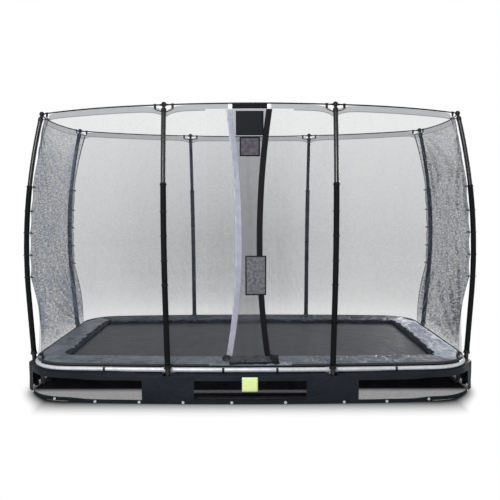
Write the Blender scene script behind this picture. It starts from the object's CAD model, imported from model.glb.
from functools import partial
from math import asin, atan2, cos, exp, floor, hypot, pi, radians, sin, sqrt

import bpy
from mathutils import Matrix, Vector, noise


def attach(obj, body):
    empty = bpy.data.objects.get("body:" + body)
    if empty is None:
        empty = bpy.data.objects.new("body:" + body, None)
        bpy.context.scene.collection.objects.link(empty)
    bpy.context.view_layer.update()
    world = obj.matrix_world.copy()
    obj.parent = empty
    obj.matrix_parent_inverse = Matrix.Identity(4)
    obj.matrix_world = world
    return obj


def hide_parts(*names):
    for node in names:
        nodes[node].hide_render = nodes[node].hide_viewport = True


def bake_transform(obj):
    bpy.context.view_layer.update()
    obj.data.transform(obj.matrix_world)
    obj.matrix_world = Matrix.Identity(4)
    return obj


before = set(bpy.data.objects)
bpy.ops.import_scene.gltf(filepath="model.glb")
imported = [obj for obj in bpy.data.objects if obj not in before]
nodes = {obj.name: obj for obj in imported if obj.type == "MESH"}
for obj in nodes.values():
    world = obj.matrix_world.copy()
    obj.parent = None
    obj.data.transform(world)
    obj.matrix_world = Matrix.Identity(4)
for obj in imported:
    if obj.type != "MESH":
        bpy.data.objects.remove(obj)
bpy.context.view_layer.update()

scene = bpy.context.scene

# the rail's outline and the poles, as in the solids, in metres
rail = {"halfLength": 1.809, "halfWidth": 1.129, "bow": 0.085, "cornerRadius": 0.35,
        "height": 0.258, "tube": 0.042}
pole = {"x": 0.648, "y": 0.683, "off": 0.066, "lean": radians(4.3), "bendHeight": 0.79,
        "bendRadius": 4.9, "bendAngle": radians(17.9), "sideTilt": radians(2.2),
        "midTilt": radians(0.6), "tube": 0.038, "sleeve": 0.0458, "sleeveLow": 0.0503}
net = {"low": 0.2836, "ties": (0.950, 1.139, 1.331, 1.519, 1.726), "inset": 0.028,
       "seamTop": 0.075, "bulge": 0.075, "notch": 0.040, "hemOff": 0.003,
       "rod": 0.011, "clipRun": 0.072, "tabLow": 0.030, "ringUp": 0.038, "tipGap": 0.0077}

longRadius = (rail["halfLength"] ** 2 + rail["bow"] ** 2) / (2 * rail["bow"])
arcCentre = longRadius - rail["halfWidth"]
cornerX = rail["halfLength"] - rail["cornerRadius"]
cornerY = sqrt((longRadius - rail["cornerRadius"]) ** 2 - cornerX ** 2) - arcCentre
arcAngle = asin(cornerX / (longRadius - rail["cornerRadius"]))
arcRun = longRadius * arcAngle
cornerRun = rail["cornerRadius"] * (pi / 2 - arcAngle)
quarter = arcRun + cornerRun + cornerY
mitreRun = arcRun + rail["cornerRadius"] * (pi / 4 - arcAngle)


def quarterAt(run, off):
    if run < arcRun:
        a = run / longRadius
        return ((longRadius + off) * sin(a), arcCentre - (longRadius + off) * cos(a))
    if run < arcRun + cornerRun:
        a = arcAngle + (run - arcRun) / rail["cornerRadius"]
        reach = rail["cornerRadius"] + off
        return (cornerX + reach * sin(a), -cornerY - reach * cos(a))
    return (rail["halfLength"] + off, run - quarter)


# which quarter a run lies in, and the run folded back on to the first one
def splitRun(run):
    run -= 4 * quarter * floor(run / (4 * quarter))
    k = int(run // quarter)
    return k, run - k * quarter if k % 2 == 0 else (k + 1) * quarter - run


def folded(run):
    return splitRun(run)[1]


# a place on the rail, by its run anticlockwise from the front's middle, moved outwards by off
def railAt(run, off=0.0):
    k, near = splitRun(run)
    x, y = quarterAt(near, off)
    return ((x, y), (x, -y), (-x, -y), (-x, y))[k]


def outAngle(run):
    a, b = railAt(run, 0.0), railAt(run, 1.0)
    return atan2(b[1] - a[1], b[0] - a[0])


frontRun = longRadius * asin(pole["x"] / longRadius)
poleRuns = [-frontRun, frontRun, quarter - pole["y"], quarter + pole["y"],
            2 * quarter - frontRun, 2 * quarter + frontRun,
            3 * quarter - pole["y"], 3 * quarter + pole["y"], 4 * quarter - frontRun]
straightLength = (pole["bendHeight"] - rail["height"]) / cos(pole["lean"])


def isEnd(i):
    return i % 8 in (2, 3, 6, 7)


def poleWorld(i, point):
    run = poleRuns[i % 8]
    tilt = (1 if i % 2 == 0 else -1) * (pole["sideTilt"] if isEnd(i) else -pole["midTilt"])
    turned = Matrix.Rotation(-tilt, 3, "X") @ Matrix.Rotation(pole["lean"], 3, "Y") @ Vector(point)
    turned += Vector((pole["off"], 0, rail["height"]))
    x, y = railAt(run)
    return Matrix.Rotation(outAngle(run), 3, "Z") @ turned + Vector((x, y, 0))


def onBend(angle, more=0.0):
    r = pole["bendRadius"]
    return (r * (cos(angle) - 1) - more * sin(angle), 0, straightLength + r * sin(angle) + more * cos(angle))


def bendAt(z):
    return pole["lean"] - asin(sin(pole["lean"]) - (z - pole["bendHeight"]) / pole["bendRadius"])


def poleLocal(z):
    if z < pole["bendHeight"]:
        return (0, 0, (z - rail["height"]) / cos(pole["lean"]))
    return onBend(bendAt(z))


def polePoint(i, z):
    return poleWorld(i, poleLocal(z))


def outward(i):
    a = outAngle(poleRuns[i % 8])
    return Vector((cos(a), sin(a)))


# the ring at the top
def capAt(i):
    return poleWorld(i, onBend(pole["bendAngle"], net["ringUp"]))


ringHeight = rail["height"] + (Matrix.Rotation(pole["lean"], 3, "Y")
                               @ Vector(onBend(pole["bendAngle"], net["ringUp"])))[2]


def ringAt(i, run, off=0.0):
    a, b = capAt(i).to_2d(), capAt(i + 1).to_2d()
    chord = (b - a).length
    r = chord ** 2 / (8 * net["bulge"]) + net["bulge"] / 2
    half = asin(chord / 2 / r)
    turn = run / r - pi / 2 - half
    p = Vector((chord / 2 + (r + off) * cos(turn), r - net["bulge"] + (r + off) * sin(turn)))
    along = (b - a).normalized()
    p = a + along * p.x + Vector((-along.y, along.x)) * p.y
    return Vector((p.x, p.y, ringHeight)), 2 * half * r


# the net's surface between pole i and the next
netTop = ringHeight - net["rod"] / 2 - 0.0003
tieLow, tieHigh = net["ties"][0], net["ties"][-1]


def upShare(z):
    return max(0.0, (z - tieHigh) / (netTop - tieHigh))


def seamIn(z):
    return net["inset"] + (net["seamTop"] - net["inset"]) * upShare(z) ** 1.5


def inFrom(i, z, distance):
    return polePoint(i, z).to_2d() - outward(i) * distance


def panelNormal(i):
    d = inFrom(i + 1, tieLow, net["inset"]) - inFrom(i, tieLow, net["inset"])
    return Vector((d.y, -d.x)).normalized()


def netHigh(i, u, z):
    base = net["inset"] * (1 - upShare(z))
    p, q = inFrom(i, z, base), inFrom(i + 1, z, base)
    pull = abs(2 * u - 1) ** 8 * (seamIn(z) - base)
    return (p + (q - p) * u + panelNormal(i) * net["bulge"] * upShare(z) ** 1.6 * 4 * u * (1 - u)
            - (outward(i) * (1 - u) + outward(i + 1) * u) * pull)


def netFlat(i, u, z):
    if z >= tieLow:
        return netHigh(i, u, z)
    k = (z - net["low"]) / (tieLow - net["low"])
    foot = Vector(railAt(poleRuns[i] + (poleRuns[i + 1] - poleRuns[i]) * u, net["hemOff"]))
    return foot * (1 - k) + netHigh(i, u, tieLow) * k


def topHeight(u):
    return netTop - net["notch"] * abs(2 * u - 1) ** 12


# mesh helpers
def makePiece(name, points, faces, material, body="frame", layers=None, smooth=True, replaced=None, slot=None):
    mesh = bpy.data.meshes.new(name)
    mesh.from_pydata([tuple(p) for p in points], [], faces)
    for layer, values in (layers or {}).items():
        uv = mesh.uv_layers.new(name=layer)
        flat = []
        for loop in mesh.loops:
            flat += values[loop.vertex_index]
        uv.data.foreach_set("uv", flat)
    mesh.polygons.foreach_set("use_smooth", [smooth] * len(mesh.polygons))
    mesh.materials.append(material)
    piece = bpy.data.objects.new(name, mesh)
    scene.collection.objects.link(piece)
    if body:
        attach(piece, body)
    if replaced:
        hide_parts(replaced)
    return piece


# quads between rows of points; wrap joins each row's ends, closed joins the last row to the first
def gridFaces(rows, cols, wrap=False, closed=False):
    return [(j * cols + k, j * cols + (k + 1) % cols,
             (j + 1) % rows * cols + (k + 1) % cols, (j + 1) % rows * cols + k)
            for j in range(rows if closed else rows - 1) for k in range(cols if wrap else cols - 1)]


def endFaces(rows, cols):
    return [tuple(range(cols))[::-1], tuple((rows - 1) * cols + k for k in range(cols))]


# a thin slab from two grids of points, the front one first
def slabFaces(rows, cols):
    wide = cols + 1
    n = (rows + 1) * wide
    faces = gridFaces(rows + 1, wide)
    faces += [tuple(v + n for v in face[::-1]) for face in faces]
    rim = list(range(wide)) + [j * wide + cols for j in range(1, rows + 1)]
    rim += [rows * wide + k for k in range(cols - 1, -1, -1)] + [j * wide for j in range(rows - 1, 0, -1)]
    return faces + [(b, a, a + n, b + n) for a, b in zip(rim, rim[1:] + rim[:1])]


# a tube along a path; radius may be a number or one for each point
def tubeParts(path, radius, sides=10, closed=False):
    points = []
    n = len(path)
    side = None
    for k, p in enumerate(path):
        ahead = Vector(path[(k + 1) % n] if closed else path[min(k + 1, n - 1)])
        behind = Vector(path[k - 1] if closed else path[max(k - 1, 0)])
        way = (ahead - behind).normalized()
        if side is None:
            side = way.orthogonal().normalized()
        side = (side - way * side.dot(way)).normalized()
        other = way.cross(side)
        r = radius if isinstance(radius, (int, float)) else radius[k]
        for j in range(sides):
            a = 2 * pi * j / sides
            points.append(Vector(p) + (side * cos(a) + other * sin(a)) * r)
    return points, gridFaces(n, sides, wrap=True, closed=closed) + ([] if closed else endFaces(n, sides))


def joinParts(parts):
    points, faces = [], []
    for partPoints, partFaces in parts:
        faces += [tuple(v + len(points) for v in face) for face in partFaces]
        points += partPoints
    return points, faces


def ease(x):
    x = min(1.0, max(0.0, x))
    return x * x * (3 - 2 * x)


# shader helpers
def addNode(tree, kind, inputs=None, **settings):
    made = tree.nodes.new(kind)
    for key, value in settings.items():
        setattr(made, key, value)
    for key, value in (inputs or {}).items():
        if isinstance(value, bpy.types.NodeSocket):
            tree.links.new(value, made.inputs[key])
        else:
            made.inputs[key].default_value = value
    return made


def maths(tree, operation, a, b=0.0, c=0.0, clamp=False):
    return addNode(tree, "ShaderNodeMath", {0: a, 1: b, 2: c}, operation=operation,
                   use_clamp=clamp).outputs[0]


def mixColour(tree, factor, a, b):
    made = addNode(tree, "ShaderNodeMix", {"Factor": factor}, data_type="RGBA")
    for socket, value in ((made.inputs[6], a), (made.inputs[7], b)):
        if isinstance(value, bpy.types.NodeSocket):
            tree.links.new(value, socket)
        else:
            socket.default_value = (*value, 1)
    return made.outputs[2]


def noiseOf(tree, vector, scale, detail, **more):
    return addNode(tree, "ShaderNodeTexNoise", {"Vector": vector, "Scale": scale, "Detail": detail, **more}).outputs[0]


def timesVector(tree, a, b):
    return addNode(tree, "ShaderNodeVectorMath", {0: a, 1: b}, operation="MULTIPLY").outputs[0]


def partsOf(tree, vector):
    return addNode(tree, "ShaderNodeSeparateXYZ", {0: vector}).outputs


def uvLayer(tree, name):
    return addNode(tree, "ShaderNodeUVMap", uv_map=name).outputs[0]


def objectPlace(tree):
    return addNode(tree, "ShaderNodeTexCoord").outputs["Object"]


def bumped(tree, strength, distance, height, **more):
    return addNode(tree, "ShaderNodeBump", {"Strength": strength, "Distance": distance, "Height": height,
                                            **more}).outputs[0]


# a shader group; an input's kind follows from its default value
def newGroup(name, inputs, outputs):
    group = bpy.data.node_groups.new(name, "ShaderNodeTree")
    for title, value in inputs.items():
        kind = {4: "Color", 3: "Vector"}[len(value)] if isinstance(value, tuple) else "Float"
        socket = group.interface.new_socket(title, in_out="INPUT", socket_type="NodeSocket" + kind)
        socket.default_value = value
    for title, kind in outputs.items():
        group.interface.new_socket(title, in_out="OUTPUT", socket_type="NodeSocket" + kind)
    return group, group.nodes.new("NodeGroupInput").outputs, group.nodes.new("NodeGroupOutput").inputs


def newMaterial(name, rough=0.5, shine=0.5, metallic=0.0):
    material = bpy.data.materials.new(name)
    material.use_nodes = True
    tree = material.node_tree
    shader = tree.nodes["Principled BSDF"]
    for key, value in (("Roughness", rough), ("Specular IOR Level", shine), ("Metallic", metallic)):
        shader.inputs[key].default_value = value
    return material, tree, shader


shaderInputs = {"Colour": "Base Color", "Roughness": "Roughness", "Alpha": "Alpha", "Normal": "Normal"}


def groupMaterial(name, group, values, **shaderValues):
    material, tree, shader = newMaterial(name, **shaderValues)
    made = addNode(tree, "ShaderNodeGroup")
    made.node_tree = group
    for key, value in values.items():
        made.inputs[key].default_value = value
    for output in made.outputs:
        tree.links.new(output, shader.inputs[shaderInputs[output.name]])
    return material


print("stage: shader groups")

# grain: a colour that varies a little, with a roughness mask and a bumped normal
grain, gIn, gOut = newGroup(
    "surfaceGrain",
    {"Colour": (0.5, 0.5, 0.5, 1), "Second Colour": (0.4, 0.4, 0.4, 1), "Scale": 40.0, "Roughness": 0.5,
     "Roughness Spread": 0.1, "Bump": 0.1, "Depth": 0.001, "Dust": 0.0},
    {"Colour": "Color", "Roughness": "Float", "Normal": "Vector"})
m = partial(maths, grain)
place = objectPlace(grain)
fine = noiseOf(grain, place, gIn["Scale"], 5.0)
broad = noiseOf(grain, place, 2.3, 3.0)
spread = m("SUBTRACT", m("ADD", m("MULTIPLY", fine, 0.6), m("MULTIPLY", broad, 0.4)), 0.5)
toned = mixColour(grain, m("MULTIPLY_ADD", spread, 2.4, 0.5, clamp=True), gIn["Colour"], gIn["Second Colour"])
up = partsOf(grain, addNode(grain, "ShaderNodeNewGeometry").outputs["Normal"])[2]
dustMask = m("MULTIPLY", m("MULTIPLY", m("MAXIMUM", up, 0.0), broad), gIn["Dust"])
grain.links.new(mixColour(grain, dustMask, toned, (0.42, 0.40, 0.37)), gOut["Colour"])
rough = m("MULTIPLY_ADD", m("MULTIPLY", spread, 2.0), gIn["Roughness Spread"], gIn["Roughness"])
grain.links.new(m("ADD", rough, m("MULTIPLY", dustMask, 0.4), clamp=True), gOut["Roughness"])
grain.links.new(bumped(grain, gIn["Bump"], gIn["Depth"], fine), gOut["Normal"])

# weave: crossing threads over the cloth's own metres, with broad creases and uneven patches
weave, wIn, wOut = newGroup(
    "clothWeave",
    {"Thread": 0.004, "Colour": (0.2, 0.2, 0.2, 1), "Second Colour": (0.15, 0.15, 0.15, 1), "Bump": 0.3,
     "Crease Scale": 9.0, "Crease Depth": 0.002, "Patch Scale": 2.1},
    {"Colour": "Color", "Normal": "Vector"})
m = partial(maths, weave)
cloth = uvLayer(weave, "cloth")
parts = partsOf(weave, cloth)
perThread = m("DIVIDE", 2 * pi, wIn["Thread"])
warp, weft = (m("SINE", m("MULTIPLY", part, perThread)) for part in parts[:2])
threads = m("MULTIPLY_ADD", m("MULTIPLY", warp, weft), 0.5, 0.5)
crease = noiseOf(weave, cloth, wIn["Crease Scale"], 4.0, Distortion=0.7)
patchy = m("MULTIPLY_ADD", noiseOf(weave, cloth, wIn["Patch Scale"], 2.0), 1.8, -0.4, clamp=True)
shade = m("ADD", m("MULTIPLY", threads, 0.25), m("MULTIPLY", patchy, 0.75))
weave.links.new(mixColour(weave, shade, wIn["Second Colour"], wIn["Colour"]), wOut["Colour"])
creased = bumped(weave, 0.8, wIn["Crease Depth"], crease)
weave.links.new(bumped(weave, wIn["Bump"], 0.0006, threads, Normal=creased), wOut["Normal"])

# net mesh: open knit, with a denser sleeve along the top, dark hem and side seams
mesh, mIn, mOut = newGroup(
    "netKnit",
    {"Coverage": 0.2, "Colour": (0.3, 0.3, 0.32, 1), "Light": (0.52, 0.53, 0.56, 1), "Hole": 0.007, "Crinkle": 0.1,
     "Crinkle Depth": 0.004, "Sleeve": 0.045, "Sleeve Coverage": 0.56, "Seam": 0.006, "Hem": 0.020, "Fold": 0.3,
     "Speckle": 0.1, "Stretch": (1, 1, 1)},
    {"Colour": "Color", "Alpha": "Float", "Normal": "Vector"})
m = partial(maths, mesh)
cloth = uvLayer(mesh, "cloth")
parts, edges, folds = (partsOf(mesh, vector) for vector in (cloth, uvLayer(mesh, "edges"), uvLayer(mesh, "folds")))
perHole = m("DIVIDE", pi, mIn["Hole"])
rising, falling = (m("SINE", m("MULTIPLY", m(way, parts[0], parts[1]), perHole)) for way in ("ADD", "SUBTRACT"))
knit = m("SUBTRACT", 1.0, m("ABSOLUTE", m("MULTIPLY", rising, falling)))
stretched = timesVector(mesh, cloth, mIn["Stretch"])
crinkle = noiseOf(mesh, stretched, 17.0, 5.0, Roughness=0.62, Distortion=1.3)
streak = noiseOf(mesh, timesVector(mesh, cloth, (1.0, 0.22, 1.0)), 7.0, 3.0)
threadNoise = noiseOf(mesh, stretched, 75.0, 2.0)
mottle = m("ADD", m("MULTIPLY", crinkle, 0.5), m("MULTIPLY", streak, 0.25))
uneven = m("SUBTRACT", m("ADD", mottle, m("MULTIPLY", threadNoise, 0.25)), 0.5)
slope = m("MULTIPLY", folds[0], mIn["Fold"])
sleeveMask = m("LESS_THAN", edges[1], mIn["Sleeve"])
stitch = m("LESS_THAN", m("ABSOLUTE", m("SUBTRACT", edges[1], mIn["Sleeve"])), 0.0035)
tape = m("MAXIMUM", m("LESS_THAN", edges[0], mIn["Seam"]), m("LESS_THAN", parts[1], mIn["Hem"]))
# how much of a place the threads cover
covered = m("MULTIPLY", mIn["Coverage"], m("MULTIPLY_ADD", knit, 0.8, 0.55))
covered = m("MULTIPLY_ADD", uneven, mIn["Crinkle"], covered)
covered = m("MULTIPLY_ADD", m("SUBTRACT", threadNoise, 0.5), mIn["Speckle"], covered)
covered = m("ADD", covered, m("MULTIPLY", m("ABSOLUTE", slope), 0.5))
covered = m("MULTIPLY", covered, m("ADD", folds[1], 1.0))
covered = m("MULTIPLY_ADD", sleeveMask, m("SUBTRACT", mIn["Sleeve Coverage"], covered), covered)
covered = m("MAXIMUM", covered, m("MULTIPLY", stitch, 0.75))
mesh.links.new(m("MAXIMUM", covered, m("MULTIPLY", tape, 0.97), clamp=True), mOut["Alpha"])
toned = m("ADD", m("MULTIPLY_ADD", uneven, 2.6, 0.3), m("MULTIPLY", slope, 1.4), clamp=True)
toned = mixColour(mesh, toned, mIn["Colour"], mIn["Light"])
toned = mixColour(mesh, m("MULTIPLY", stitch, 0.8), toned, (0.05, 0.05, 0.06))
mesh.links.new(mixColour(mesh, tape, toned, (0.03, 0.03, 0.035)), mOut["Colour"])
mesh.links.new(bumped(mesh, 1.0, mIn["Crinkle Depth"], crinkle), mOut["Normal"])


def grained(name, colour, second, scale, rough, spread, bump, dust=0.0, depth=0.001, **shaderValues):
    return groupMaterial(name, grain, {
        "Colour": colour, "Second Colour": second, "Scale": scale, "Roughness": rough, "Roughness Spread": spread,
        "Bump": bump, "Dust": dust, "Depth": depth}, **shaderValues)


def woven(name, colour, second, thread=0.003, bump=0.3, creases=(9.0, 0.002), patches=2.1, **shaderValues):
    return groupMaterial(name, weave, {
        "Colour": (*colour, 1), "Second Colour": (*second, 1), "Thread": thread, "Bump": bump,
        "Crease Scale": creases[0], "Crease Depth": creases[1], "Patch Scale": patches}, **shaderValues)


def knitted(name, coverage, crinkle, fold, speckle, colour=(0.022, 0.027, 0.036), light=(0.090, 0.107, 0.138),
            rough=0.6, shine=0.15, others=None):
    return groupMaterial(name, mesh, {
        "Coverage": coverage, "Crinkle": crinkle, "Fold": fold, "Speckle": speckle, "Colour": (*colour, 1),
        "Light": (*light, 1), **(others or {})}, rough=rough, shine=shine)


def grey(value, blue=0.0):
    return (value, value * (1 + blue * 0.4), value * (1 + blue), 1)


print("stage: materials")
galvanised = grained("galvanisedSteel", grey(0.56, 0.08), grey(0.36, 0.12), 40, 0.42, 0.22, 0.25, dust=0.05,
                     metallic=0.2)
socketSteel = grained("socketSteel", grey(0.50, 0.08), grey(0.32, 0.12), 40, 0.42, 0.22, 0.25, metallic=0.2)
zinc = grained("zincPlate", grey(0.60), grey(0.46), 90, 0.32, 0.15, 0.08, dust=0.05, metallic=1.0)
poleBlack = grained("poleCoat", grey(0.003, 0.3), grey(0.006, 0.4), 60, 0.28, 0.1, 0.05, dust=0.02, shine=0.45)
foamBlack = grained("foamSleeve", grey(0.002, 0.3), grey(0.005, 0.4), 35, 0.70, 0.15, 0.35, depth=0.0015, shine=0.08)
plasticBlack = grained("blackPlastic", grey(0.005), grey(0.009), 120, 0.42, 0.12, 0.12, dust=0.02, shine=0.2)
elastic = grained("elasticCord", grey(0.006), grey(0.014), 160, 0.7, 0.1, 0.4, dust=0.02, shine=0.1)
plasticWhite = grained("whitePlastic", grey(0.48), grey(0.40), 80, 0.3, 0.1, 0.05, dust=0.2)

# the pads are of one cloth, finished as each side catches the light
padBase = {"bump": 0.25, "creases": (8.0, 0.10), "patches": 6.0}
padCloth = woven("padVinyl", (0.22, 0.25, 0.29), (0.036, 0.043, 0.054), **padBase, rough=0.32, shine=0.4)
padSheen = woven("padVinylSheen", (0.66, 0.74, 0.88), (0.12, 0.145, 0.19), **padBase, rough=0.38, shine=0.8)
padShaded = woven("padVinylShaded", (0.045, 0.054, 0.066), (0.015, 0.019, 0.024), **padBase, rough=0.42, shine=0.2)
pipingBlack = woven("pipingBlack", (0.006, 0.007, 0.009), (0.002, 0.002, 0.003), thread=0.004, rough=0.6, shine=0.06)
matCloth = woven("jumpFabric", (0.058, 0.056, 0.062), (0.034, 0.033, 0.037), thread=0.005, creases=(5.0, 0.016),
                 rough=0.48, shine=0.35)
webbingBlack = woven("webbingBlack", (0.007, 0.007, 0.009), (0.003, 0.003, 0.004), thread=0.006, bump=0.5,
                     rough=0.6, shine=0.07)
webbingWhite = woven("webbingWhite", (0.66, 0.67, 0.78), (0.40, 0.41, 0.52), thread=0.006, bump=0.5,
                     creases=(9.0, 0.003), patches=14.0, rough=0.55)
skirtCloth = woven("skirtCloth", (0.014, 0.017, 0.022), (0.007, 0.009, 0.012), thread=0.004, bump=0.35,
                   creases=(6.0, 0.030), rough=0.5, shine=0.06)
apronCloth = woven("apronCloth", (0.011, 0.013, 0.018), (0.004, 0.005, 0.007), thread=0.004, bump=0.35,
                   creases=(13.0, 0.045), rough=0.45, shine=0.12)
patchBlack = woven("patchBlack", (0.006, 0.007, 0.009), (0.003, 0.0035, 0.005), rough=0.5, shine=0.07)
patchGrey = woven("patchGrey", (0.090, 0.082, 0.100), (0.012, 0.012, 0.016), patches=34.0, rough=0.6, shine=0.15)
boardGrey = woven("boardGrey", (0.150, 0.153, 0.165), (0.014, 0.015, 0.018), patches=44.0, rough=0.45, shine=0.15)
labelLime = woven("labelLime", (0.46, 0.68, 0.06), (0.60, 0.62, 0.46), patches=40.0, rough=0.5)

netFront = knitted("netFront", 0.195, 0.14, 0.16, 0.10)
netRear = knitted("netRear", 0.33, 0.18, 0.16, 0.14)
netDoor = knitted("netDoor", 0.215, 0.16, 0.15, 0.12)
netLap = knitted("netLap", 0.36, 0.16, 0.15, 0.12, (0.024, 0.026, 0.032), (0.13, 0.135, 0.15))
netEnd = knitted("netEnd", 0.60, 0.75, 0.42, 0.9, (0.022, 0.025, 0.030), (0.18, 0.22, 0.31), rough=0.5,
                 others={"Crinkle Depth": 0.008, "Seam": 0.010, "Stretch": (0.25, 1.0, 1.0)})

# the sockets are galvanised round the rail and black on their necks and at the two ends
neck = {"above": 0.0250, "endFrom": 1.70, "black": (0.004, 0.004, 0.005)}
tree = socketSteel.node_tree
shader = tree.nodes["Principled BSDF"]
m = partial(maths, tree)
parts = partsOf(tree, objectPlace(tree))
coated = m("MAXIMUM", m("GREATER_THAN", parts[2], rail["height"] + neck["above"]),
           m("GREATER_THAN", m("ABSOLUTE", parts[0]), neck["endFrom"]))
steel = shader.inputs["Base Color"].links[0].from_socket
tree.links.new(mixColour(tree, coated, steel, neck["black"]), shader.inputs["Base Color"])

# what each kept CAD node is finished in
corners = [a + b for a in ("front_", "rear_") for b in ("left", "right")]
finishes = {
    galvanised: [a + b for a in ("rail_", "leg_") for b in ("front", "rear", "left", "right")]
                + ["corner_" + corner for corner in corners],
    socketSteel: ["rail_sockets"],
    zinc: ["frame_bolts", "v_rings"],
    poleBlack: ["pole_" + corner for corner in corners]
               + ["pole_" + "_".join(corner.split("_")[::-1]) for corner in corners]
               + ["pole_lower_tubes", "pole_brackets"],
    plasticBlack: ["pole_collars", "pole_caps", "net_clips", "ring_rods"],
    plasticWhite: ["skirt_pegs"],
}
for material, names in finishes.items():
    for name in names:
        nodes[name].data.materials.clear()
        nodes[name].data.materials.append(material)

print("stage: camera and light")
view = {"lens": 44.889, "place": (0.0018, -6.0166, 1.5633), "down": 0.0714, "roll": 0.0023, "turn": 0.0002}
camera = bpy.data.objects.new("camera", bpy.data.cameras.new("camera"))
camera.data.lens = view["lens"]
camera.data.sensor_width = 36
camera.location = view["place"]
camera.rotation_euler = (pi / 2 - view["down"], view["roll"], view["turn"])
scene.collection.objects.link(camera)
scene.camera = camera
scene.view_settings.view_transform = "Standard"

studio = {"world": 0.66, "floorColour": (0.86, 0.86, 0.86), "floorGlow": 0.30, "glowUnder": 0.62}
lamps = {"key": {"power": 520, "size": 3.0, "place": (-1.6, -8.0, 3.9), "aim": (0, 0, 0.8)},
         "fill": {"power": 110, "size": 4.0, "place": (4.5, 3.0, 5.0), "aim": (0, 0, 0.6)},
         "rear": {"power": 130, "size": 1.6, "place": (3.9, 4.4, 2.1), "aim": (1.3, 0.2, 0.3)}}
world = bpy.data.worlds.new("studio")
scene.world = world
world.use_nodes = True


# rays that should see the plain background
def seenIn(tree):
    path = addNode(tree, "ShaderNodeLightPath").outputs
    return maths(tree, "MAXIMUM", path["Is Camera Ray"], path["Is Transmission Ray"])


tree = world.node_tree
back = tree.nodes["Background"]
back.inputs["Color"].default_value = (1, 1, 1, 1)
strength = maths(tree, "MULTIPLY_ADD", seenIn(tree), 1.0 - studio["world"], studio["world"])
tree.links.new(strength, back.inputs["Strength"])


def areaLight(name, power, size, place, aim):
    lamp = bpy.data.lights.new(name, "AREA")
    lamp.energy, lamp.size = power, size
    made = bpy.data.objects.new(name, lamp)
    made.location = place
    made.rotation_euler = (Vector(aim) - Vector(place)).to_track_quat("-Z", "Y").to_euler()
    made.visible_camera = False
    scene.collection.objects.link(made)


for name, lamp in lamps.items():
    areaLight(name, **lamp)

floorMaterial, tree, shader = newMaterial("paleFloor", rough=0.9, shine=0.0)
shader.inputs["Emission Color"].default_value = (1, 1, 1, 1)
m = partial(maths, tree)
seen = seenIn(tree)


# a grey value that runs through the given stops
def glowStops(value, stops):
    ramp = addNode(tree, "ShaderNodeValToRGB", {"Fac": value})
    for k, (at, glow) in enumerate(stops):
        stop = ramp.color_ramp.elements[k] if k < 2 else ramp.color_ramp.elements.new(at)
        stop.position, stop.color = at, (glow, glow, glow, 1)
    return ramp.outputs[0]


# how far a place lies outside the rail's rounded oblong; far under the mat the floor is left dark
absX, absY = (m("ABSOLUTE", part) for part in partsOf(tree, objectPlace(tree))[:2])
beyondX, beyondY = m("SUBTRACT", absX, cornerX), m("SUBTRACT", absY, cornerY)
farX, farY = m("MAXIMUM", beyondX, 0.0), m("MAXIMUM", beyondY, 0.0)
beyond = m("SQRT", m("ADD", m("MULTIPLY", farX, farX), m("MULTIPLY", farY, farY)))
beyond = m("ADD", beyond, m("MINIMUM", m("MAXIMUM", beyondX, beyondY), 0.0))
beyond = m("SUBTRACT", beyond, rail["cornerRadius"])
floorReach = {"inner": 0.6, "span": 1.5, "under": 0.035}
# beside the two ends the shadow is shorter
atEnd = glowStops(m("MULTIPLY", absX, 0.5), ((0.825, 0.0), (0.95, 1.0)))
faded = m("MULTIPLY", beyond, m("MULTIPLY_ADD", atEnd, 2.2, 1.0))
distance = m("MULTIPLY_ADD", faded, 1 / floorReach["span"], floorReach["inner"] / floorReach["span"], clamp=True)
farShare = glowStops(distance, ((0.45, 0.0), (0.93, 1.0)))
nearGlow = glowStops(distance, ((0.44, 0.0), (0.62, studio["floorGlow"])))
# the lit strip of floor that shows through the skirt's windows
within = m("LESS_THAN", beyond, floorReach["under"])
lit = glowStops(absY, ((0.765, 0.0), (0.865, 1.0)))
nearMiddle = glowStops(absX, ((0.66, 1.0), (0.70, 0.0)))
middleLit = glowStops(absY, ((0.805, 0.0), (0.835, 0.8), (0.885, 0.8), (0.905, 0.0)))
lit = m("MULTIPLY_ADD", nearMiddle, m("SUBTRACT", middleLit, lit), lit)
glow = m("MULTIPLY_ADD", farShare, m("SUBTRACT", 1.0, nearGlow), nearGlow)
glow = m("MULTIPLY", glow, m("SUBTRACT", 1.0, within))
inside = m("MULTIPLY", m("MULTIPLY", lit, within), studio["glowUnder"])
tree.links.new(m("MULTIPLY", seen, m("ADD", glow, inside)), shader.inputs["Emission Strength"])
hemShade = glowStops(faded, ((0.080, 0.03), (0.50, 1.0)))
plain = mixColour(tree, m("MULTIPLY", seen, farShare), timesVector(tree, studio["floorColour"], hemShade), (0, 0, 0))
shaded = m("MULTIPLY", within, m("SUBTRACT", 1.0, lit))
tree.links.new(mixColour(tree, shaded, plain, (0.05, 0.05, 0.05)), shader.inputs["Base Color"])
floorMesh = bpy.data.meshes.new("floor")
floorMesh.from_pydata([(-40, -40, 0), (40, -40, 0), (40, 40, 0), (-40, 40, 0)], [], [(0, 1, 2, 3)])
floorMesh.materials.append(floorMaterial)
floorPiece = bpy.data.objects.new("floor", floorMesh)
floorPiece.location.z = -0.001
scene.collection.objects.link(floorPiece)

print("stage: net")


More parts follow.
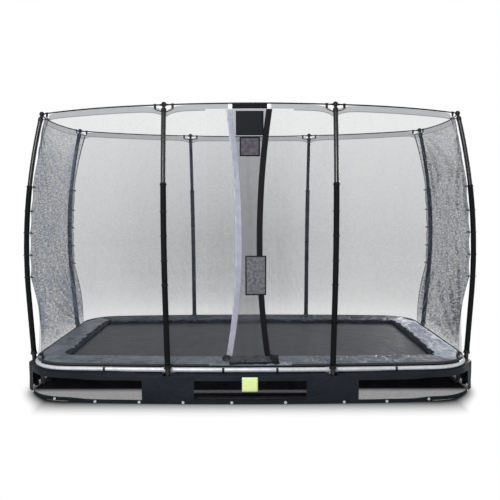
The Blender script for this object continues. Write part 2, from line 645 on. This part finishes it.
# how far the net stands off its smooth surface: fans from its corners and soft crumples
def creaseAt(i, u, z, width):
    end = isEnd(i) and isEnd(i + 1)
    x = u * width
    gain = 1.0 if end else 0.35
    push = 0.0
    for cornerU in (0.0, 1.0):
        for cornerZ, strength in ((netTop, 0.014), (net["low"], 0.014)):
            dx, dz = abs(u - cornerU) * width, abs(z - cornerZ)
            r = hypot(dx, dz)
            fan = sin(atan2(dx, dz) * 19 + cornerU * 2 + i) * min(r / 0.35, 1.0) * exp(-(r / 0.75) ** 2)
            push += strength * fan * (1.0 if end else 0.45 if cornerZ < 1 else 0.25)
    push += 0.010 * noise.noise(Vector((x * 3.1 + i * 7, z * 1.7, 0.3)))
    push += 0.007 * noise.noise(Vector((x * 8.0 + i * 3, z * 5.0 + x * 4.0, 1.3)))
    push += 0.004 * noise.noise(Vector((x * 21.0, z * 15.0 + i, 2.1)))
    hold = ease(min(u, 1 - u) * width / 0.10) * ease((netTop - z) / 0.10) * ease((z - net["low"]) / 0.06)
    return push * gain * hold


# how steeply the folds turn there, for the knit to look closer where it is seen aslant
def foldSlope(i, u, z, width):
    d = 0.012
    across = creaseAt(i, u + d / width, z, width) - creaseAt(i, u - d / width, z, width)
    along = creaseAt(i, u, z + d, width) - creaseAt(i, u, z - d, width)
    return max(-1.0, min(1.0, (across * 1.6 - along) / (2 * d) * 2.2))


# between its ties the net's edge draws in from the pole
def scallop(z):
    marks = (net["low"], *net["ties"])
    for a, b, deep in zip(marks, marks[1:], (0.030, 0.009, 0.009, 0.009, 0.009)):
        if a <= z < b:
            return deep * sin(pi * (z - a) / (b - a))
    return 0.0


def between(stops, at):
    for (a, low), (b, high) in zip(stops, stops[1:]):
        if at < b:
            return low + (high - low) * max(0.0, at - a) / (b - a)
    return stops[-1][1]


# how much closer or more open the knit looks there than its material says
closeness = {
    "rearHeight": ((0.35, -0.5), (0.47, -0.15), (0.6, 0.1), (0.8, 0.26), (1.16, 0.3), (1.5, 0.12), (1.9, -0.1),
                   (2.24, -0.28)),
    "rearPlace": ((-1.9, -0.24), (-1.5, -0.14), (-1.2, 0.0), (-0.45, 0.17), (-0.2, 0.2), (0.4, 0.1), (0.57, 0.0),
                  (1.2, -0.22), (1.8, -0.22)),
    "endHeight": ((0.30, -0.35), (0.45, 0.0), (0.9, 0.06), (1.6, 0.02), (1.9, -0.06), (2.2, -0.30))}


def closenessAt(i, x, z):
    if i in (3, 4, 5):
        return (1 + between(closeness["rearHeight"], z)) * (1 + between(closeness["rearPlace"], x)) - 1
    return between(closeness["endHeight"], z) if i in (2, 6) else 0.0


def netGrid(name, i, u0, u1, z0, z1, cols, rows, material, replaced, slot="net_mesh"):
    points, clothUv, edgeUv, foldUv = [], [], [], []
    normal = panelNormal(i)
    width = (netHigh(i, 1, tieLow) - netHigh(i, 0, tieLow)).length
    for j in range(rows + 1):
        for k in range(cols + 1):
            u = u0 + (u1 - u0) * k / cols
            top = min(z1, topHeight(u)) if z1 > netTop - 0.01 else z1
            z = z0 + (top - z0) * j / rows
            p = netFlat(i, u, z) + normal * creaseAt(i, u, z, width)
            p -= (outward(i) * (1 - u) + outward(i + 1) * u) * scallop(z) * abs(2 * u - 1) ** 10
            points.append((p.x, p.y, z))
            clothUv.append((u * width + i * 1.37, z - net["low"]))
            edgeUv.append((min(u, 1 - u) * width, topHeight(u) - z))
            foldUv.append((foldSlope(i, u, z, width), closenessAt(i, p.x, z)))
    layers = {"cloth": clothUv, "edges": edgeUv, "folds": foldUv}
    return makePiece(name, points, gridFaces(rows + 1, cols + 1), material, "frame", layers,
                     replaced=replaced, slot=slot)


seamShare = 0.0007 / (2 * pole["x"])
doorHalf = 0.33


def doorU(x):
    return 0.5 + x / (2 * pole["x"])


panels = [  # name, pole index, columns, material, the node it stands for
    ("netCornerFrontRight", 1, 70, netFront, "net_corner_front_right"),
    ("netRight", 2, 84, netEnd, "net_right"),
    ("netCornerRearRight", 3, 70, netRear, "net_corner_rear_right"),
    ("netRear", 4, 60, netRear, "net_rear"),
    ("netCornerRearLeft", 5, 70, netRear, "net_corner_rear_left"),
    ("netLeft", 6, 84, netEnd, "net_left"),
    ("netCornerFrontLeft", 7, 70, netFront, "net_corner_front_left"),
]
for name, i, cols, material, node in panels:
    piece = netGrid(name, i, seamShare, 1 - seamShare, net["low"], netTop, cols, 100, material, node)
foldGap = 0.0004 / (2 * pole["x"])
for name, u0, u1, node in (("netFrontLeft", seamShare, doorU(-doorHalf) - foldGap, "net_front_left"),
                           ("netFrontRight", doorU(doorHalf) + foldGap, 1 - seamShare, "net_front_right")):
    piece = netGrid(name, 0, u0, u1, net["low"], netTop, 22, 100, netFront, node)

print("stage: entrance")
door = {"low": 0.322, "bandLow": 0.372, "waist": 1.27, "layer": 0.011, "band": 0.045, "bandThickness": 0.0032,
        "outer": (0.095, 0.069, 0.081), "inner": (0.108, 0.067, 0.100), "headerHigh": 0.037, "gap": 0.003}
headerLow = netTop - door["headerHigh"]
doorTop = headerLow - door["gap"]


# how far past the middle a curtain's free edge reaches; it flares more below its waist
def edgeX(side, z):
    reach, above, below = door["outer" if side < 0 else "inner"]
    return reach + (above if z > door["waist"] else below) * (z - door["waist"]) ** 2


# a place on a curtain: side -1 is the outer one, hung from the left fold; t runs from fold to free edge
def curtainAt(side, x, z, off=0.0):
    w = ease(abs(x - side * doorHalf) / 0.15)
    p = netFlat(0, doorU(x), z) + panelNormal(0) * (-side * door["layer"] * w + off)
    return (p.x, p.y, z)


def curtain(name, side, replaced, body):
    rows, cols = 100, 30
    points, clothUv, edgeUv, foldUv = [], [], [], []
    for j in range(rows + 1):
        z = door["low"] + (doorTop - door["low"]) * j / rows
        edge = -side * edgeX(side, z)
        for k in range(cols + 1):
            x = side * doorHalf + (edge - side * doorHalf) * k / cols
            soft = ease(k / cols * 3) * ease((doorTop - z) / 0.2) * ease((cols - k - 3) / 6)
            ripple = 0.0016 * sin(x * 60 + z * 2.2) * soft
            points.append(curtainAt(side, x, z, ripple))
            clothUv.append((x + 5.2 * (side + 2), z - net["low"] + 0.2))
            edgeUv.append((0.1, 0.3))
            foldUv.append((0.3 * cos(x * 60 + z * 2.2) * soft, 0))
    layers = {"cloth": clothUv, "edges": edgeUv, "folds": foldUv}
    piece = makePiece(name, points, gridFaces(rows + 1, cols + 1), netDoor, body, layers,
                      replaced=replaced, slot="net_mesh")
    # where the two curtains overlap the knit is closer
    piece.data.materials.append(netLap)
    for face in piece.data.polygons:
        middle = sum((piece.data.vertices[v].co for v in face.vertices), Vector()) / len(face.vertices)
        face.material_index = int(-side * middle.x > -edgeX(-side, middle.z))


def curtainBand(name, side, material, body):
    rows = 80
    ring = [(0, 1), (1, 1), (1, -1), (0, -1)]
    points, clothUv = [], []
    for j in range(rows + 1):
        z = door["bandLow"] + (doorTop - door["bandLow"]) * j / rows
        edge = -side * edgeX(side, z)
        for across, face in ring:
            x = edge + side * door["band"] * across
            points.append(curtainAt(side, x, z, face * door["bandThickness"] / 2 + 0.0008 * sin(z * 31)))
            clothUv.append((across * door["band"], z))
    makePiece(name, points, gridFaces(rows + 1, 4, wrap=True) + endFaces(rows + 1, 4), material, body,
              {"cloth": clothUv}, smooth=False, slot="net_mesh")


curtain("curtainOuter", -1, "door_outer", "outer_curtain")
curtain("curtainInner", 1, "door_inner", "inner_curtain")
curtainBand("curtainBandBlack", -1, webbingBlack, "outer_curtain")
curtainBand("curtainBandWhite", 1, webbingWhite, "inner_curtain")


# the knotted elastic at the foot of each curtain's free edge
def knotParts(side, x, lean):
    found = []
    low, high = door["low"], door["bandLow"] + 0.006
    for across in (-1, 1):
        path = []
        for k in range(15):
            t = k / 14
            wide = across * (0.004 + 0.024 * sin(pi * t) ** 2)
            path.append(curtainAt(side, x + lean * t + wide, low + 0.007 + (high - low - 0.007) * t, -side * 0.002))
        found.append(tubeParts(path, 0.0065, 8))
    middle = Vector(curtainAt(side, x + lean * 0.5, low + (high - low) * 0.5, -side * 0.006))
    for turn in (0.3, 1.5, 2.6):
        ring = [middle + Vector((0.021 * cos(a), 0.007 * sin(a) * cos(turn), 0.021 * sin(a) * sin(turn + 0.4)))
                for a in (2 * pi * k / 16 for k in range(16))]
        found.append(tubeParts(ring, 0.0070, 8, closed=True))
    return joinParts(found)


for name, side, x, lean, body in (("curtainKnotInner", 1, -0.205, 0.030, "inner_curtain"),
                                  ("curtainKnotOuter", -1, 0.215, -0.050, "outer_curtain")):
    makePiece(name, *knotParts(side, x, lean), elastic, body, slot="black_elastic")

# the sleeve over the entrance, dark in its middle
for name, x0, x1, material, slot in (("headerLeft", -doorHalf, -0.1605, netFront, "net_mesh"),
                                     ("headerMiddle", -0.13, 0.13, webbingBlack, "dark_cloth"),
                                     ("headerRight", 0.1605, doorHalf, netFront, "net_mesh"),
                                     ("headerTabLeft", -0.160, -0.1305, webbingWhite, "dark_cloth"),
                                     ("headerTabRight", 0.1305, 0.160, webbingWhite, "dark_cloth")):
    piece = netGrid(name, 0, doorU(x0), doorU(x1), headerLow, netTop, 10, 4, material, "net_header", slot)


# blank patches: a large square, a smaller one and a board, each with a darker edge
patchShape = {"square": 0.010, "thickness": 0.0022, "off": 0.0038}


def patch(name, x0, x1, z0, z1, material):
    cols, rows = round((x1 - x0) / patchShape["square"]), round((z1 - z0) / patchShape["square"])
    points, clothUv = [], []
    for face in (1, -1):
        for j in range(rows + 1):
            for k in range(cols + 1):
                x, z = x0 + (x1 - x0) * k / cols, z0 + (z1 - z0) * j / rows
                share = 0.3 if min(k, cols - k, j, rows - j) == 0 else 0.5
                points.append(curtainAt(-1, x, z, patchShape["off"] + face * patchShape["thickness"] * share))
                clothUv.append((x, z))
    piece = makePiece(name, points, slabFaces(rows, cols), material, "outer_curtain", {"cloth": clothUv},
                      replaced="door_patches", slot="dark_patch")
    piece.data.materials.append(patchBlack)
    for k in range(rows * cols):
        if min(k % cols, cols - 1 - k % cols, k // cols, rows - 1 - k // cols) == 0:
            piece.data.polygons[k].material_index = 1


patch("patchSquare", -0.103, 0.103, 2.100, 2.285, patchBlack)
patch("patchSmall", -0.076, 0.076, 1.940, 2.088, patchGrey)
patch("patchBoard", -0.036, 0.123, 0.868, 1.176, boardGrey)

print("stage: pads")
padShape = {"high": 0.28257, "droop": 0.009, "thickness": 0.029, "width": 0.300, "endWidth": 0.250,
            "edge": 0.006, "cut": 0.045, "shares": (0, 0.036, 0.175, 0.406, 0.67, 0.875, 0.96, 1),
            "rise": (0.30, 0.72, 0.95, 1.0, 0.98, 0.92, 0.72, 0.34),
            "seams": (0.620, 1.150, quarter - 0.300)}


def padFloor(off):
    return padShape["high"] - padShape["droop"] * min(1.0, max(0.0, (-off - 0.040) / 0.060))


def padOff(run, share):
    t = min(1.0, max(0.0, (folded(run) - mitreRun) / (quarter - pole["y"] - mitreRun)))
    out = -padShape["edge"] - padShape["cut"] * 4 * t * (1 - t)
    inner = -padShape["width"] + (padShape["width"] - padShape["endWidth"]) * ease((folded(run) - arcRun) / cornerRun)
    return out + (inner - out) * share


def padRise(share):
    shares, rise = padShape["shares"], padShape["rise"]
    for k in range(len(shares) - 1):
        if share <= shares[k + 1]:
            return rise[k] + (rise[k + 1] - rise[k]) * ease((share - shares[k]) / (shares[k + 1] - shares[k]))
    return rise[-1]


def padTop(run, share, start, end):
    seam = min(abs(folded(run) - s) for s in padShape["seams"])
    edge = ease(min(run - start, end - run) / 0.035)
    crown = padRise(share) * (0.52 + 0.48 * edge) * (1 - 0.42 * exp(-(seam / 0.007) ** 2))
    pucker = 0.0045 * exp(-seam / 0.11) * sin(share * 23 + run * 7) * ease(share * 4) * ease((1 - share) * 4)
    off = padOff(run, share)
    x, y = railAt(run, off)
    soft = ease(share * 5) * ease((1 - share) * 5) * edge
    crumple = 0.009 * noise.noise(Vector((x * 4.0, y * 4.0 + x * 2.0, 0.4)))
    crumple += 0.006 * abs(noise.noise(Vector((x * 9.0 + y * 5.0, y * 9.0, 3.4))))
    return padFloor(off) + padShape["thickness"] * crown + (pucker + crumple) * soft


def pad(name, start, end, replaced, material, lining):
    cols, step = 30, 0.012
    rows = int((end - start) / step)
    points, clothUv = [], []
    shares = [k / cols for k in range(cols + 1)]
    for j in range(rows + 1):
        run = start + (end - start) * j / rows
        for share in shares:
            off = padOff(run, share)
            points.append((*railAt(run, off), padTop(run, share, start, end)))
            clothUv.append((run, off))
        for share in shares[::-1]:
            off = padOff(run, share)
            points.append((*railAt(run, off), padFloor(off) + 0.0005))
            clothUv.append((run, off + 0.7))
    around = 2 * (cols + 1)
    faces = [face[::-1] for face in gridFaces(rows + 1, around, wrap=True) + endFaces(rows + 1, around)]
    piece = makePiece(name, points, faces, material, "frame", {"cloth": clothUv},
                      replaced=replaced, slot="pad_vinyl")
    # a dark lining along the inner edge, its border uneven
    piece.data.materials.append(pipingBlack)
    for k in range(rows * around):
        ragged = (0.10 * noise.noise(Vector((k // around * 0.11, 0.5, start)))
                  + 0.06 * noise.noise(Vector((k // around * 0.6, 1.5, start))))
        if k % around <= cols and (k % around) / cols > lining + ragged:
            piece.data.polygons[k].material_index = 1
    # dark binding along the outer edge
    edge = []
    for j in range(rows + 1):
        run = start + (end - start) * j / rows
        out = 0.015 if abs(padOff(run, 0) + padShape["edge"]) < 0.002 else 0.002
        edge.append((*railAt(run, padOff(run, 0) + out), padShape["high"] + 0.0008 + 0.0006 * sin(run * 9)))
    makePiece(name + "Binding", *tubeParts(edge, 0.0055, 8), pipingBlack, slot="pad_vinyl")


mitreGap = 0.0004
pad("padFront", mitreGap - mitreRun, mitreRun - mitreGap, "pad_front", padCloth, 1.2)
pad("padRight", mitreRun + mitreGap, 2 * quarter - mitreRun - mitreGap, "pad_right", padSheen, 0.84)
pad("padRear", 2 * quarter - mitreRun + mitreGap, 2 * quarter + mitreRun - mitreGap, "pad_rear", padShaded, 0.93)
pad("padLeft", 2 * quarter + mitreRun + mitreGap, 4 * quarter - mitreRun - mitreGap, "pad_left", padCloth, 0.84)

print("stage: mat")
matShape = {"off": -0.2093, "hem": 0.045, "hemUp": (0.0016, 0.0035)}
around, rings = 220, 14
points, clothUv = [], []
for j in range(rings):
    share = 1 - j / rings
    for k in range(around):
        x, y = railAt(4 * quarter * k / around, matShape["off"])
        x, y = x * share, y * share
        points.append((x, y, rail["height"] + 0.0005 + 0.0012 * noise.noise(Vector((x * 2, y * 2, 0)))))
        clothUv.append((x, y))
points.append((0, 0, rail["height"]))
clothUv.append((0, 0))
inmost = (rings - 1) * around
faces = gridFaces(rings, around, wrap=True)
faces += [(inmost + k, inmost + (k + 1) % around, rings * around) for k in range(around)]
piece = makePiece("jumpMat", points, faces, matCloth, "mat", {"cloth": clothUv},
                  replaced="jump_mat", slot="jump_fabric")

# the hem's webbing, round the mat's edge
outer, inner = matShape["off"], matShape["off"] - matShape["hem"]
low, high = (rail["height"] + up for up in matShape["hemUp"])
points, clothUv = [], []
for k in range(around):
    run = 4 * quarter * k / around
    for off, z, v in ((outer, low, 0), (outer, high, 0.002), (inner, high, matShape["hem"] + 0.002),
                      (inner, low, 0.05)):
        points.append((*railAt(run, off), z))
        clothUv.append((run, v))
faces = gridFaces(around, 4, wrap=True, closed=True)
faces[-4:] = [(b, a, d, c) for a, b, c, d in faces[-4:]]
makePiece("matHem", points, faces, webbingBlack, "mat", {"cloth": clothUv}, smooth=False, replaced="mat_hem",
          slot="hem_webbing")

print("stage: springs")
spring = {"count": 68, "length": 0.158, "radius": 0.011, "wire": 0.0017, "turns": 24, "eye": 0.0062,
          "eyeIn": 0.008, "coilIn": 0.019, "near": 0.0213, "nearSocket": 0.0253}


def springParts(k):
    run = (k + 0.5) * 4 * quarter / spring["count"]
    atSocket = min(abs(run - r) for r in poleRuns) < 0.060
    near = spring["nearSocket"] if atSocket else spring["near"]
    far = spring["nearSocket"] + spring["length"]
    x, y = railAt(run)
    turn = Matrix.Translation((x, y, rail["height"])) @ Matrix.Rotation(outAngle(run) + pi, 4, "Z")
    bodyIn, bodyOut = near + spring["coilIn"], far - spring["coilIn"]
    eye = spring["eye"]
    path = []
    for j in range(9):  # the eye at the rail
        a = 2 * pi * j / 9
        path.append((near + spring["eyeIn"] - eye * sin(a), 0, eye * cos(a)))
    steps = spring["turns"] * 9
    for j in range(steps + 1):
        t = j / steps
        r = (spring["radius"] - spring["wire"]) * min(1, 0.25 + 9 * t, 0.25 + 9 * (1 - t))
        a = 2 * pi * spring["turns"] * t
        path.append((bodyIn + (bodyOut - bodyIn) * t, r * sin(a), r * cos(a)))
    for j in range(9):  # the eye at the mat
        a = 2 * pi * j / 9
        path.append((far - spring["eyeIn"] - eye * cos(a), 0, eye * sin(a)))
    return tubeParts([turn @ Vector(p) for p in path], spring["wire"], 5), run


# each side's springs, and where they start on the rail and end on the mat
sides = {"springsFront": ((0, -1.10), (0, -0.93)), "springsRight": ((1.78, 0), (1.61, 0)),
         "springsRear": ((0, 1.10), (0, 0.93)), "springsLeft": ((-1.78, 0), (-1.61, 0))}
groups = {name: [] for name in sides}
for k in range(spring["count"]):
    parts, run = springParts(k)
    share = (run % (4 * quarter)) / quarter
    if share < mitreRun / quarter or share > 4 - mitreRun / quarter:
        groups["springsFront"].append(parts)
    elif share < 2 - mitreRun / quarter:
        groups["springsRight"].append(parts)
    elif share < 2 + mitreRun / quarter:
        groups["springsRear"].append(parts)
    else:
        groups["springsLeft"].append(parts)
for name, (start, end) in sides.items():
    piece = makePiece(name, *joinParts(groups[name]), zinc, None, replaced="springs", slot="spring_steel")
    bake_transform(piece)

print("stage: sleeves, ties and elastics")


def sleeveParts(i):
    path, radii = [], []
    low, high = rail["height"] + pole["sleeveLow"] * cos(pole["lean"]), tieHigh + 0.012
    steps = 90
    for k in range(steps + 1):
        t = k / steps
        z = low + (high - low) * t
        path.append(polePoint(i, z))
        wrinkle = 0.0006 * noise.noise(Vector((i * 3.1, z * 30, 0))) + 0.0005 * noise.noise(Vector((i, z * 8, 4)))
        radii.append(pole["sleeve"] / 2 - 0.0004 + wrinkle)
    return tubeParts(path, radii, 20)


sleeves = joinParts([sleeveParts(i) for i in range(8)])
piece = makePiece("poleSleeves", *sleeves, foamBlack, replaced="pole_sleeves", slot="black_foam")


def loopOn(i, z, radius, width, thickness):
    centre, above = polePoint(i, z - 0.004), polePoint(i, z + 0.004)
    way = (above - centre).normalized()
    middle = polePoint(i, z)
    out = Vector((*outward(i), 0))
    out = (out - way * out.dot(way)).normalized()
    side = way.cross(out)
    points, n = [], 28
    for k in range(n):
        a = 2 * pi * k / n
        ray = out * cos(a) + side * sin(a)
        for r, h in ((radius, -width / 2), (radius + thickness, -width / 2 * 0.8),
                     (radius + thickness, width / 2 * 0.8), (radius, width / 2)):
            points.append(middle + ray * r + way * h)
    return points, gridFaces(n, 4, wrap=True, closed=True)


# the knot and its two short tails that hold the net's seam to each tie
def bowParts(i, z):
    middle = polePoint(i, z)
    way = Vector((*outward(i), 0))
    side = Vector((-way.y, way.x, 0))
    start, seam = middle - way * (pole["sleeve"] / 2 + 0.002), middle - way * (net["inset"] + 0.004)
    found = []
    for across in (-1, 1):
        path = [start + side * across * 0.013, start.lerp(seam, 0.6) + side * across * 0.008, seam,
                seam - way * 0.010 + side * across * 0.009 + Vector((0, 0, 0.007 * across)),
                seam - way * 0.018 + side * across * 0.015 + Vector((0, 0, -0.006))]
        found.append(tubeParts(path, (0.003, 0.0036, 0.0045, 0.0036, 0.0026), 8))
    return joinParts(found)


tieParts = [loopOn(i, z, pole["sleeve"] / 2 + 0.0004, 0.009, 0.0035) for i in range(8) for z in net["ties"]]
tieParts += [bowParts(i, z) for i in range(8) for z in net["ties"]]
makePiece("poleTies", *joinParts(tieParts), elastic, replaced="net_ties", slot="black_elastic")

elasticParts = []
for i in range(8):
    previous = (i + 7) % 8
    seam = inFrom(i, netTop, net["seamTop"] - net["tipGap"])
    tip = Vector((seam.x, seam.y, netTop - net["notch"]))
    drop = Vector((0, 0, -net["tabLow"] - 0.0038))
    a = ringAt(i, net["clipRun"])[0] + drop
    before = ringAt(previous, 0)[1]
    b = ringAt(previous, before - net["clipRun"])[0] + drop
    sag = [Vector((0, 0, -0.003 * sin(pi * t / 5))) for t in range(6)]
    path = [b.lerp(tip, t / 5) + sag[t] for t in range(5)]
    path += [tip + Vector((0, 0, -0.0005))]
    path += [tip.lerp(a, t / 5) + sag[t] for t in range(1, 6)]
    elasticParts.append(tubeParts(path, 0.0035, 8))
makePiece("cornerElastics", *joinParts(elasticParts), elastic, replaced="net_loops", slot="black_elastic")

strapParts = []
strap = {"runs": (0.215, 1.170, quarter - 0.300), "width": 0.018, "thickness": 0.0018}
for q in range(4):
    for t in strap["runs"]:
        run = q * quarter + t if q % 2 == 0 else (q + 1) * quarter - t
        x, y = railAt(run)
        turn = Matrix.Translation((x, y, rail["height"])) @ Matrix.Rotation(outAngle(run), 4, "Z")
        points, n = [], 30
        for k in range(n + 1):
            a = radians(130 + 280 * k / n)
            for r, w in ((0, -1), (strap["thickness"], -0.9), (strap["thickness"], 0.9), (0, 1)):
                reach = rail["tube"] / 2 + 0.0004 + r
                points.append(turn @ Vector((reach * cos(a), w * strap["width"] / 2, reach * sin(a))))
        strapParts.append((points, gridFaces(n + 1, 4, wrap=True) + endFaces(n + 1, 4)))
makePiece("padStraps", *joinParts(strapParts), elastic, replaced="pad_ties", slot="black_elastic")

print("stage: skirt")
skirt = {"off": 0.08804, "low": 0.004, "high": 0.2367, "windowLow": 0.036, "windowHigh": 0.190,
         "side": 0.44, "end": 0.47, "sideFrom": 0.851, "endFrom": 0.88, "tuck": 0.042, "bendIn": 0.25}
windowBase = {"crinkle": 0.2, "fold": 0.0, "speckle": 0.2, "colour": (0.002, 0.002, 0.003),
              "light": (0.008, 0.008, 0.010), "rough": 0.8, "shine": 0.0,
              "others": {"Hole": 0.004, "Sleeve": 0.0, "Seam": 0.0, "Hem": -1.0}}
openMesh = knitted("skirtMeshOpen", 0.52, **windowBase)
closeMesh = knitted("skirtMeshClose", 0.86, **windowBase)


def skirtTuck(run):
    f = folded(run)
    return (skirt["tuck"] * ease((f - arcRun + skirt["bendIn"]) / skirt["bendIn"])
            * ease((quarter - pole["y"] - 0.060 - f) / 0.110))


def skirtWave(run, z):
    k = sin(pi * (z - skirt["low"]) / (skirt["high"] - skirt["low"]))
    return k * (0.0022 * sin(run * 21) + 0.004 * noise.noise(Vector((run * 3.3, z * 6, 0.7))))


def inWindow(run, z, windows):
    return skirt["windowLow"] < z < skirt["windowHigh"] and any(a < run < b for a, b in windows)


# a piece made of some of the faces over a shared set of points
def skirtPiece(name, points, faces, material, replaced, layers):
    used = sorted({v for face in faces for v in face})
    index = {v: k for k, v in enumerate(used)}
    return makePiece(name, [points[v] for v in used], [tuple(index[v] for v in face) for face in faces], material,
                     "frame", {layer: [values[v] for v in used] for layer, values in layers.items()},
                     replaced=replaced, slot="skirt_cloth")


def skirtSide(name, start, end, windows, replaced):
    step = 0.018
    cuts = sorted({start, end, *[w for pair in windows for w in pair]})
    runs = []
    for a, b in zip(cuts, cuts[1:]):
        n = max(1, int((b - a) / step))
        runs += [a + (b - a) * k / n for k in range(n)]
    runs.append(end)
    heights = (skirt["low"], 0.020, skirt["windowLow"], 0.065, 0.095, 0.125, 0.155, skirt["windowHigh"], 0.215, 0.228)
    points, clothUv = [], []
    for z in heights:
        for run in runs:
            points.append((*railAt(run, skirt["off"] + skirtWave(run, z) - skirtTuck(run)), z))
            clothUv.append((run, z))
    # the shoulder, in to just under the rail
    inward = ((0.086, 0.2325, 0), (0.078, 0.2350, 0), (0.064, 0.2358, 0.1), (0.048, 0.2355, 0.3), (0.034, 0.2354, 0.65),
              (0.0245, 0.2353, 1), (0.0230, 0.2352, 0.45), (0.012, 0.2352, 0))
    for off, z, lip in inward:
        for run in runs:
            keep = ease((off - 0.0245) / 0.04)
            lift = lip * 0.0155 * ease((folded(run) - 0.75) / 0.40)
            points.append((*railAt(run, off - skirtTuck(run) * keep), z + lift - 0.0012 * abs(sin(run * 6))))
            clothUv.append((run, 0.24 + 0.088 - off))
    cols = len(runs)
    faces, closeFaces, openFaces = [], [], []
    for j in range(len(heights) + len(inward) - 1):
        for k in range(cols - 1):
            face = (j * cols + k, j * cols + k + 1, (j + 1) * cols + k + 1, (j + 1) * cols + k)
            middleRun = (runs[k] + runs[k + 1]) / 2
            if j >= len(heights) - 1:  # the ledge leaves room for the poles
                off = inward[max(0, j - len(heights))][0]
                if min(abs((middleRun - r + 2 * quarter) % (4 * quarter) - 2 * quarter) for r in poleRuns) < (
                        0.054 if off < 0.034 else 0.026):
                    continue
            elif inWindow(middleRun, (heights[j] + heights[j + 1]) / 2, windows):
                middle = min(folded(middleRun), quarter - folded(middleRun)) < 0.5
                (closeFaces if middle else openFaces).append(face)
                continue
            faces.append(face)
    piece = skirtPiece(name, points, faces, skirtCloth, replaced, {"cloth": clothUv})
    layers = {"cloth": clothUv, "edges": [(1, 1)] * len(points), "folds": [(0, 0)] * len(points)}
    for title, group, material in (("MeshClose", closeFaces, closeMesh), ("MeshOpen", openFaces, openMesh)):
        window = skirtPiece(name + title, points, group, material, replaced, layers)


def windowRuns(middle, half, start, far):
    return [(middle - half, middle + half), (middle + start, middle + far), (middle - far, middle - start)]


for name, k, replaced in (("skirtFront", 0, "skirt_front"), ("skirtRight", 1, "skirt_right"),
                          ("skirtRear", 2, "skirt_rear"), ("skirtLeft", 3, "skirt_left")):
    far = mitreRun if k % 2 == 0 else quarter - mitreRun
    half, start = (skirt["side"], skirt["sideFrom"]) if k % 2 == 0 else (skirt["end"], skirt["endFrom"])
    skirtSide(name, k * quarter - far, k * quarter + far, windowRuns(k * quarter, half, start, far), replaced)

# the blank label on the skirt
label = {"left": -0.065, "right": 0.059, "low": 0.105, "high": 0.220, "off": 0.0905}
points, clothUv, n = [], [], 8
for face in (0.0010, 0.0):
    for j in range(n + 1):
        for k in range(n + 1):
            x = label["left"] + (label["right"] - label["left"]) * k / n
            z = label["low"] + (label["high"] - label["low"]) * j / n
            y = railAt(0, label["off"] + face)[1]
            points.append((x, y - 0.0004 * sin(x * 40 + z * 30), z))
            clothUv.append((x, z))
makePiece("skirtLabel", points, slabFaces(n, n), labelLime, "frame", {"cloth": clothUv},
          replaced="skirt_label", slot="lime_label")

print("stage: apron")
apron = {"left": -0.165, "right": 0.235, "lift": 0.0022, "bunchFrom": 0.01,
         "ceiling": 0.3202}  # just under the curtains' feet


def apronHeight(x, off):
    share = (-off - padShape["edge"]) / (padShape["width"] - padShape["edge"])
    top = padTop(x, min(1.0, max(0.0, share)), -mitreRun, mitreRun) + apron["lift"]
    if share > 0.985:
        top += (rail["height"] + 0.006 - top) * ease((share - 0.985) / 0.1)
    fold = 0.006 * noise.noise(Vector((x * 9, off * 7, 5.0))) + 0.003 * noise.noise(Vector((x * 22, off * 20, 2.0)))
    bunch = ease((x - apron["bunchFrom"]) / 0.05) * (0.016 * abs(noise.noise(Vector((x * 15, off * 30, 7.0))))
                                                     + 0.010 * abs(noise.noise(Vector((x * 40, off * 26, 1.0)))))
    return min(top + max(0.0, fold + 0.004) + bunch, apron["ceiling"])


points, clothUv = [], []
cols, rows = 70, 60
for j in range(rows + 1):
    off = -0.005 - 0.301 * j / rows
    for k in range(cols + 1):
        x = apron["left"] + (apron["right"] - apron["left"]) * k / cols + 0.008 * sin(off * 16)
        points.append((*railAt(x, off), apronHeight(x, off)))
        clothUv.append((x, off))
faces = [face[::-1] for face in gridFaces(rows + 1, cols + 1)]
piece = makePiece("entranceApron", points, faces, apronCloth, "frame", {"cloth": clothUv},
                  replaced="entrance_apron", slot="dark_cloth")
